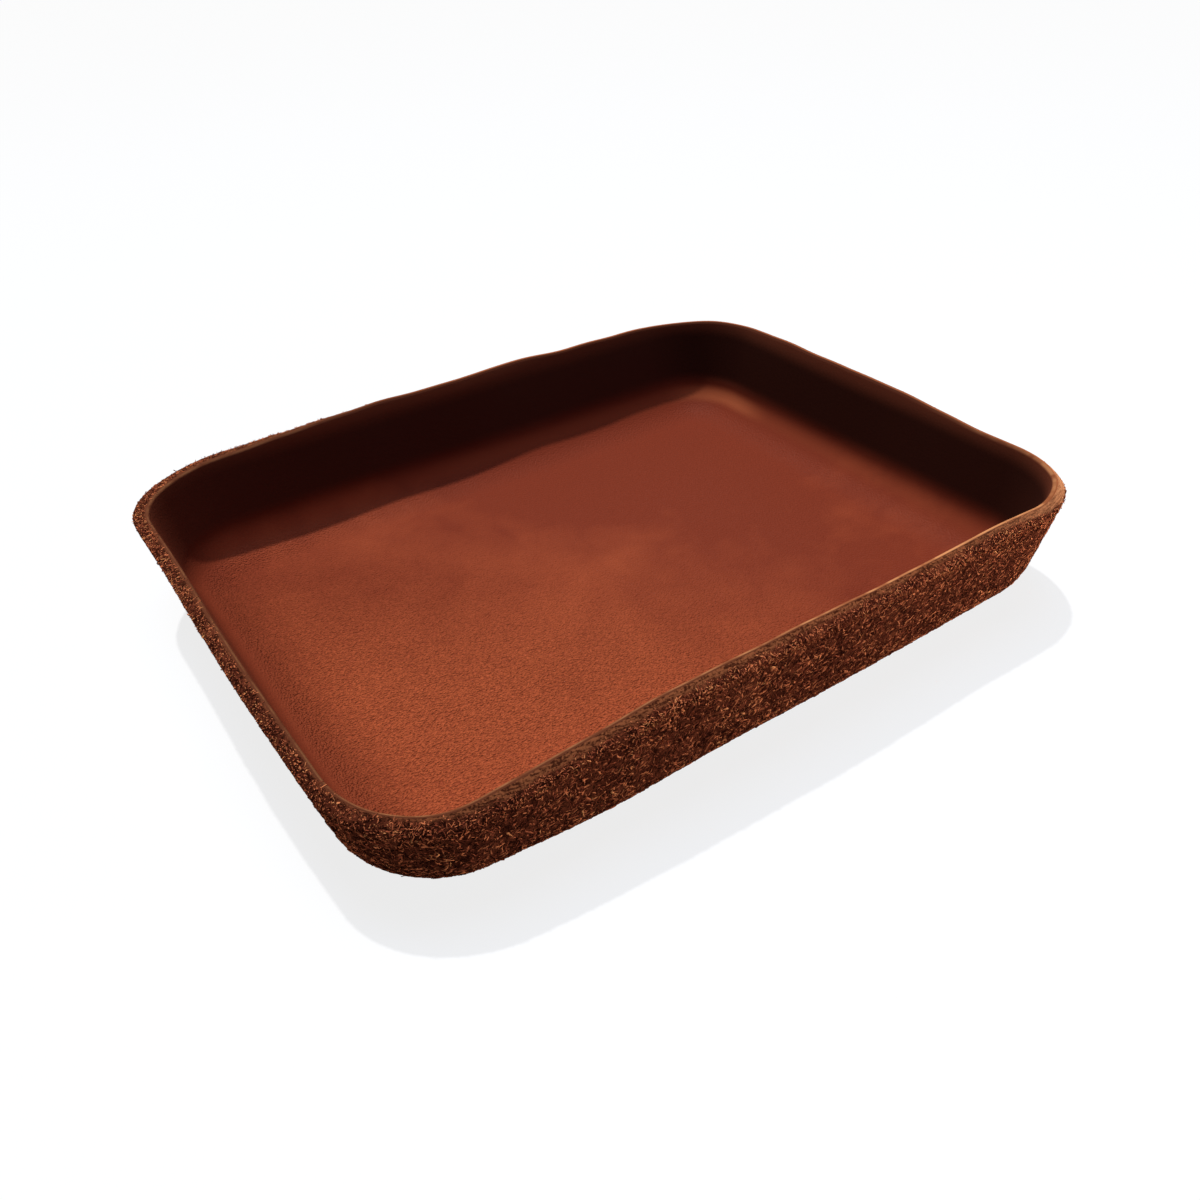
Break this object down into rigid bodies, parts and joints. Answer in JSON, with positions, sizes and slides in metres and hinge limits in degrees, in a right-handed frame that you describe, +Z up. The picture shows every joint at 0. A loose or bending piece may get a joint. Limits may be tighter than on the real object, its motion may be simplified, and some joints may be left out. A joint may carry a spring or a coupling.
{
  "type": "valet tray",
  "caption": "Shallow rectangular moulded leather tray with leaning walls, rounded corners, a smooth lined well and a rough outside, for keys, coins and watches.",
  "frame": {"origin": "centre of the underside of the floor, on the surface that the tray stands on", "axes": "+X along the tray's length to the right, +Y towards its back, +Z up out of the well"},
  "size_m": [0.2292, 0.1782, 0.038],
  "materials": {
    "rough_hide": "raw flesh side, napped",
    "smooth_lining": "dyed grain side, satin"
  },
  "bodies": {
    "root": {"outer_shell": "rough_hide", "inner_lining": "smooth_lining"}
  },
  "joints": []
}
